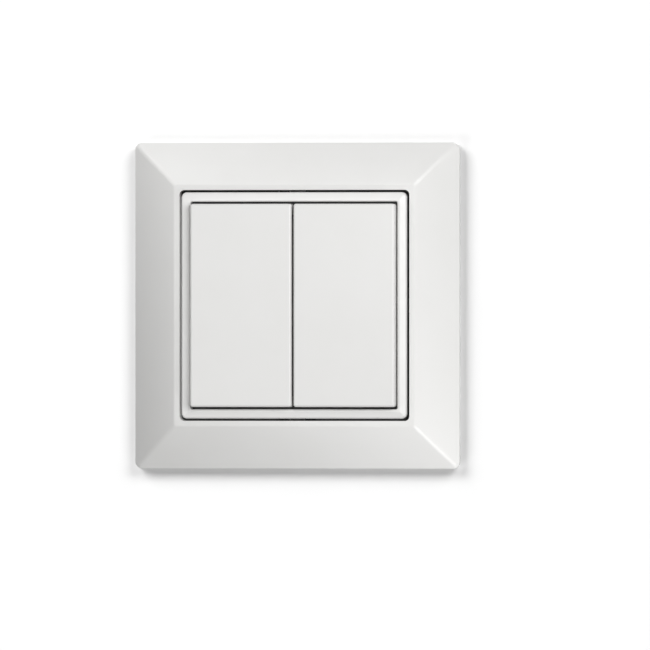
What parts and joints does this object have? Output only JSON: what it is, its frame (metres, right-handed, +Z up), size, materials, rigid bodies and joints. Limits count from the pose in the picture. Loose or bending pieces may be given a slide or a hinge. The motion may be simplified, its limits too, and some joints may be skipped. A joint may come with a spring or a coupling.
{
  "type": "wall remote control",
  "caption": "Square wireless wall remote control: bevelled cover frame, thin inner ring, side-by-side tilting rockers, battery radio module and screw-on wall plate.",
  "frame": {"origin": "middle of the back face, on the wall", "axes": "+Z up and +X to the right as the part hangs on the wall, +Y into the wall, front towards -Y"},
  "size_m": [0.08, 0.0145, 0.08],
  "materials": {
    "white_frame": "satin",
    "white_ring": "satin",
    "white_rocker": "satin",
    "plate_plastic": "matte",
    "dark_plastic": "matte",
    "cell_steel": "satin",
    "contact_metal": "satin",
    "board_green": "satin",
    "silicone": "matte",
    "carbon": "matte",
    "chip_black": "matte",
    "ceramic_tan": "matte",
    "gold_pad": "satin"
  },
  "bodies": {
    "transmitter": {"wall_plate": "plate_plastic", "outer_frame": "white_frame", "inner_frame": "white_ring", "housing_base": "dark_plastic", "housing_cover": "dark_plastic", "battery_door": "dark_plastic", "coin_cell": "cell_steel", "negative_contact": "contact_metal", "positive_contact": "contact_metal", "circuit_board": "board_green", "contact_pads": "gold_pad", "left_contact_strip": "silicone", "right_contact_strip": "silicone", "contact_pills": "carbon", "microcontroller": "chip_black", "radio_chip": "chip_black", "crystal": "cell_steel", "capacitors": "ceramic_tan", "resistors": "chip_black", "antenna": "contact_metal"},
    "left_rocker": {"left_rocker": "white_rocker"},
    "right_rocker": {"right_rocker": "white_rocker"}
  },
  "joints": [
    {"name": "left_rocker_tilt", "type": "hinge", "parent": "transmitter", "child": "left_rocker", "pos_m": [0, -0.0108, 0], "axis": [1, 0, 0], "range_deg": [-3.5, 3.5], "stiffness_Nm_per_rad": 0.4, "deforming": ["left_contact_strip"]},
    {"name": "right_rocker_tilt", "type": "hinge", "parent": "transmitter", "child": "right_rocker", "pos_m": [0, -0.0108, 0], "axis": [1, 0, 0], "range_deg": [-3.5, 3.5], "stiffness_Nm_per_rad": 0.4, "deforming": ["right_contact_strip"]}
  ]
}
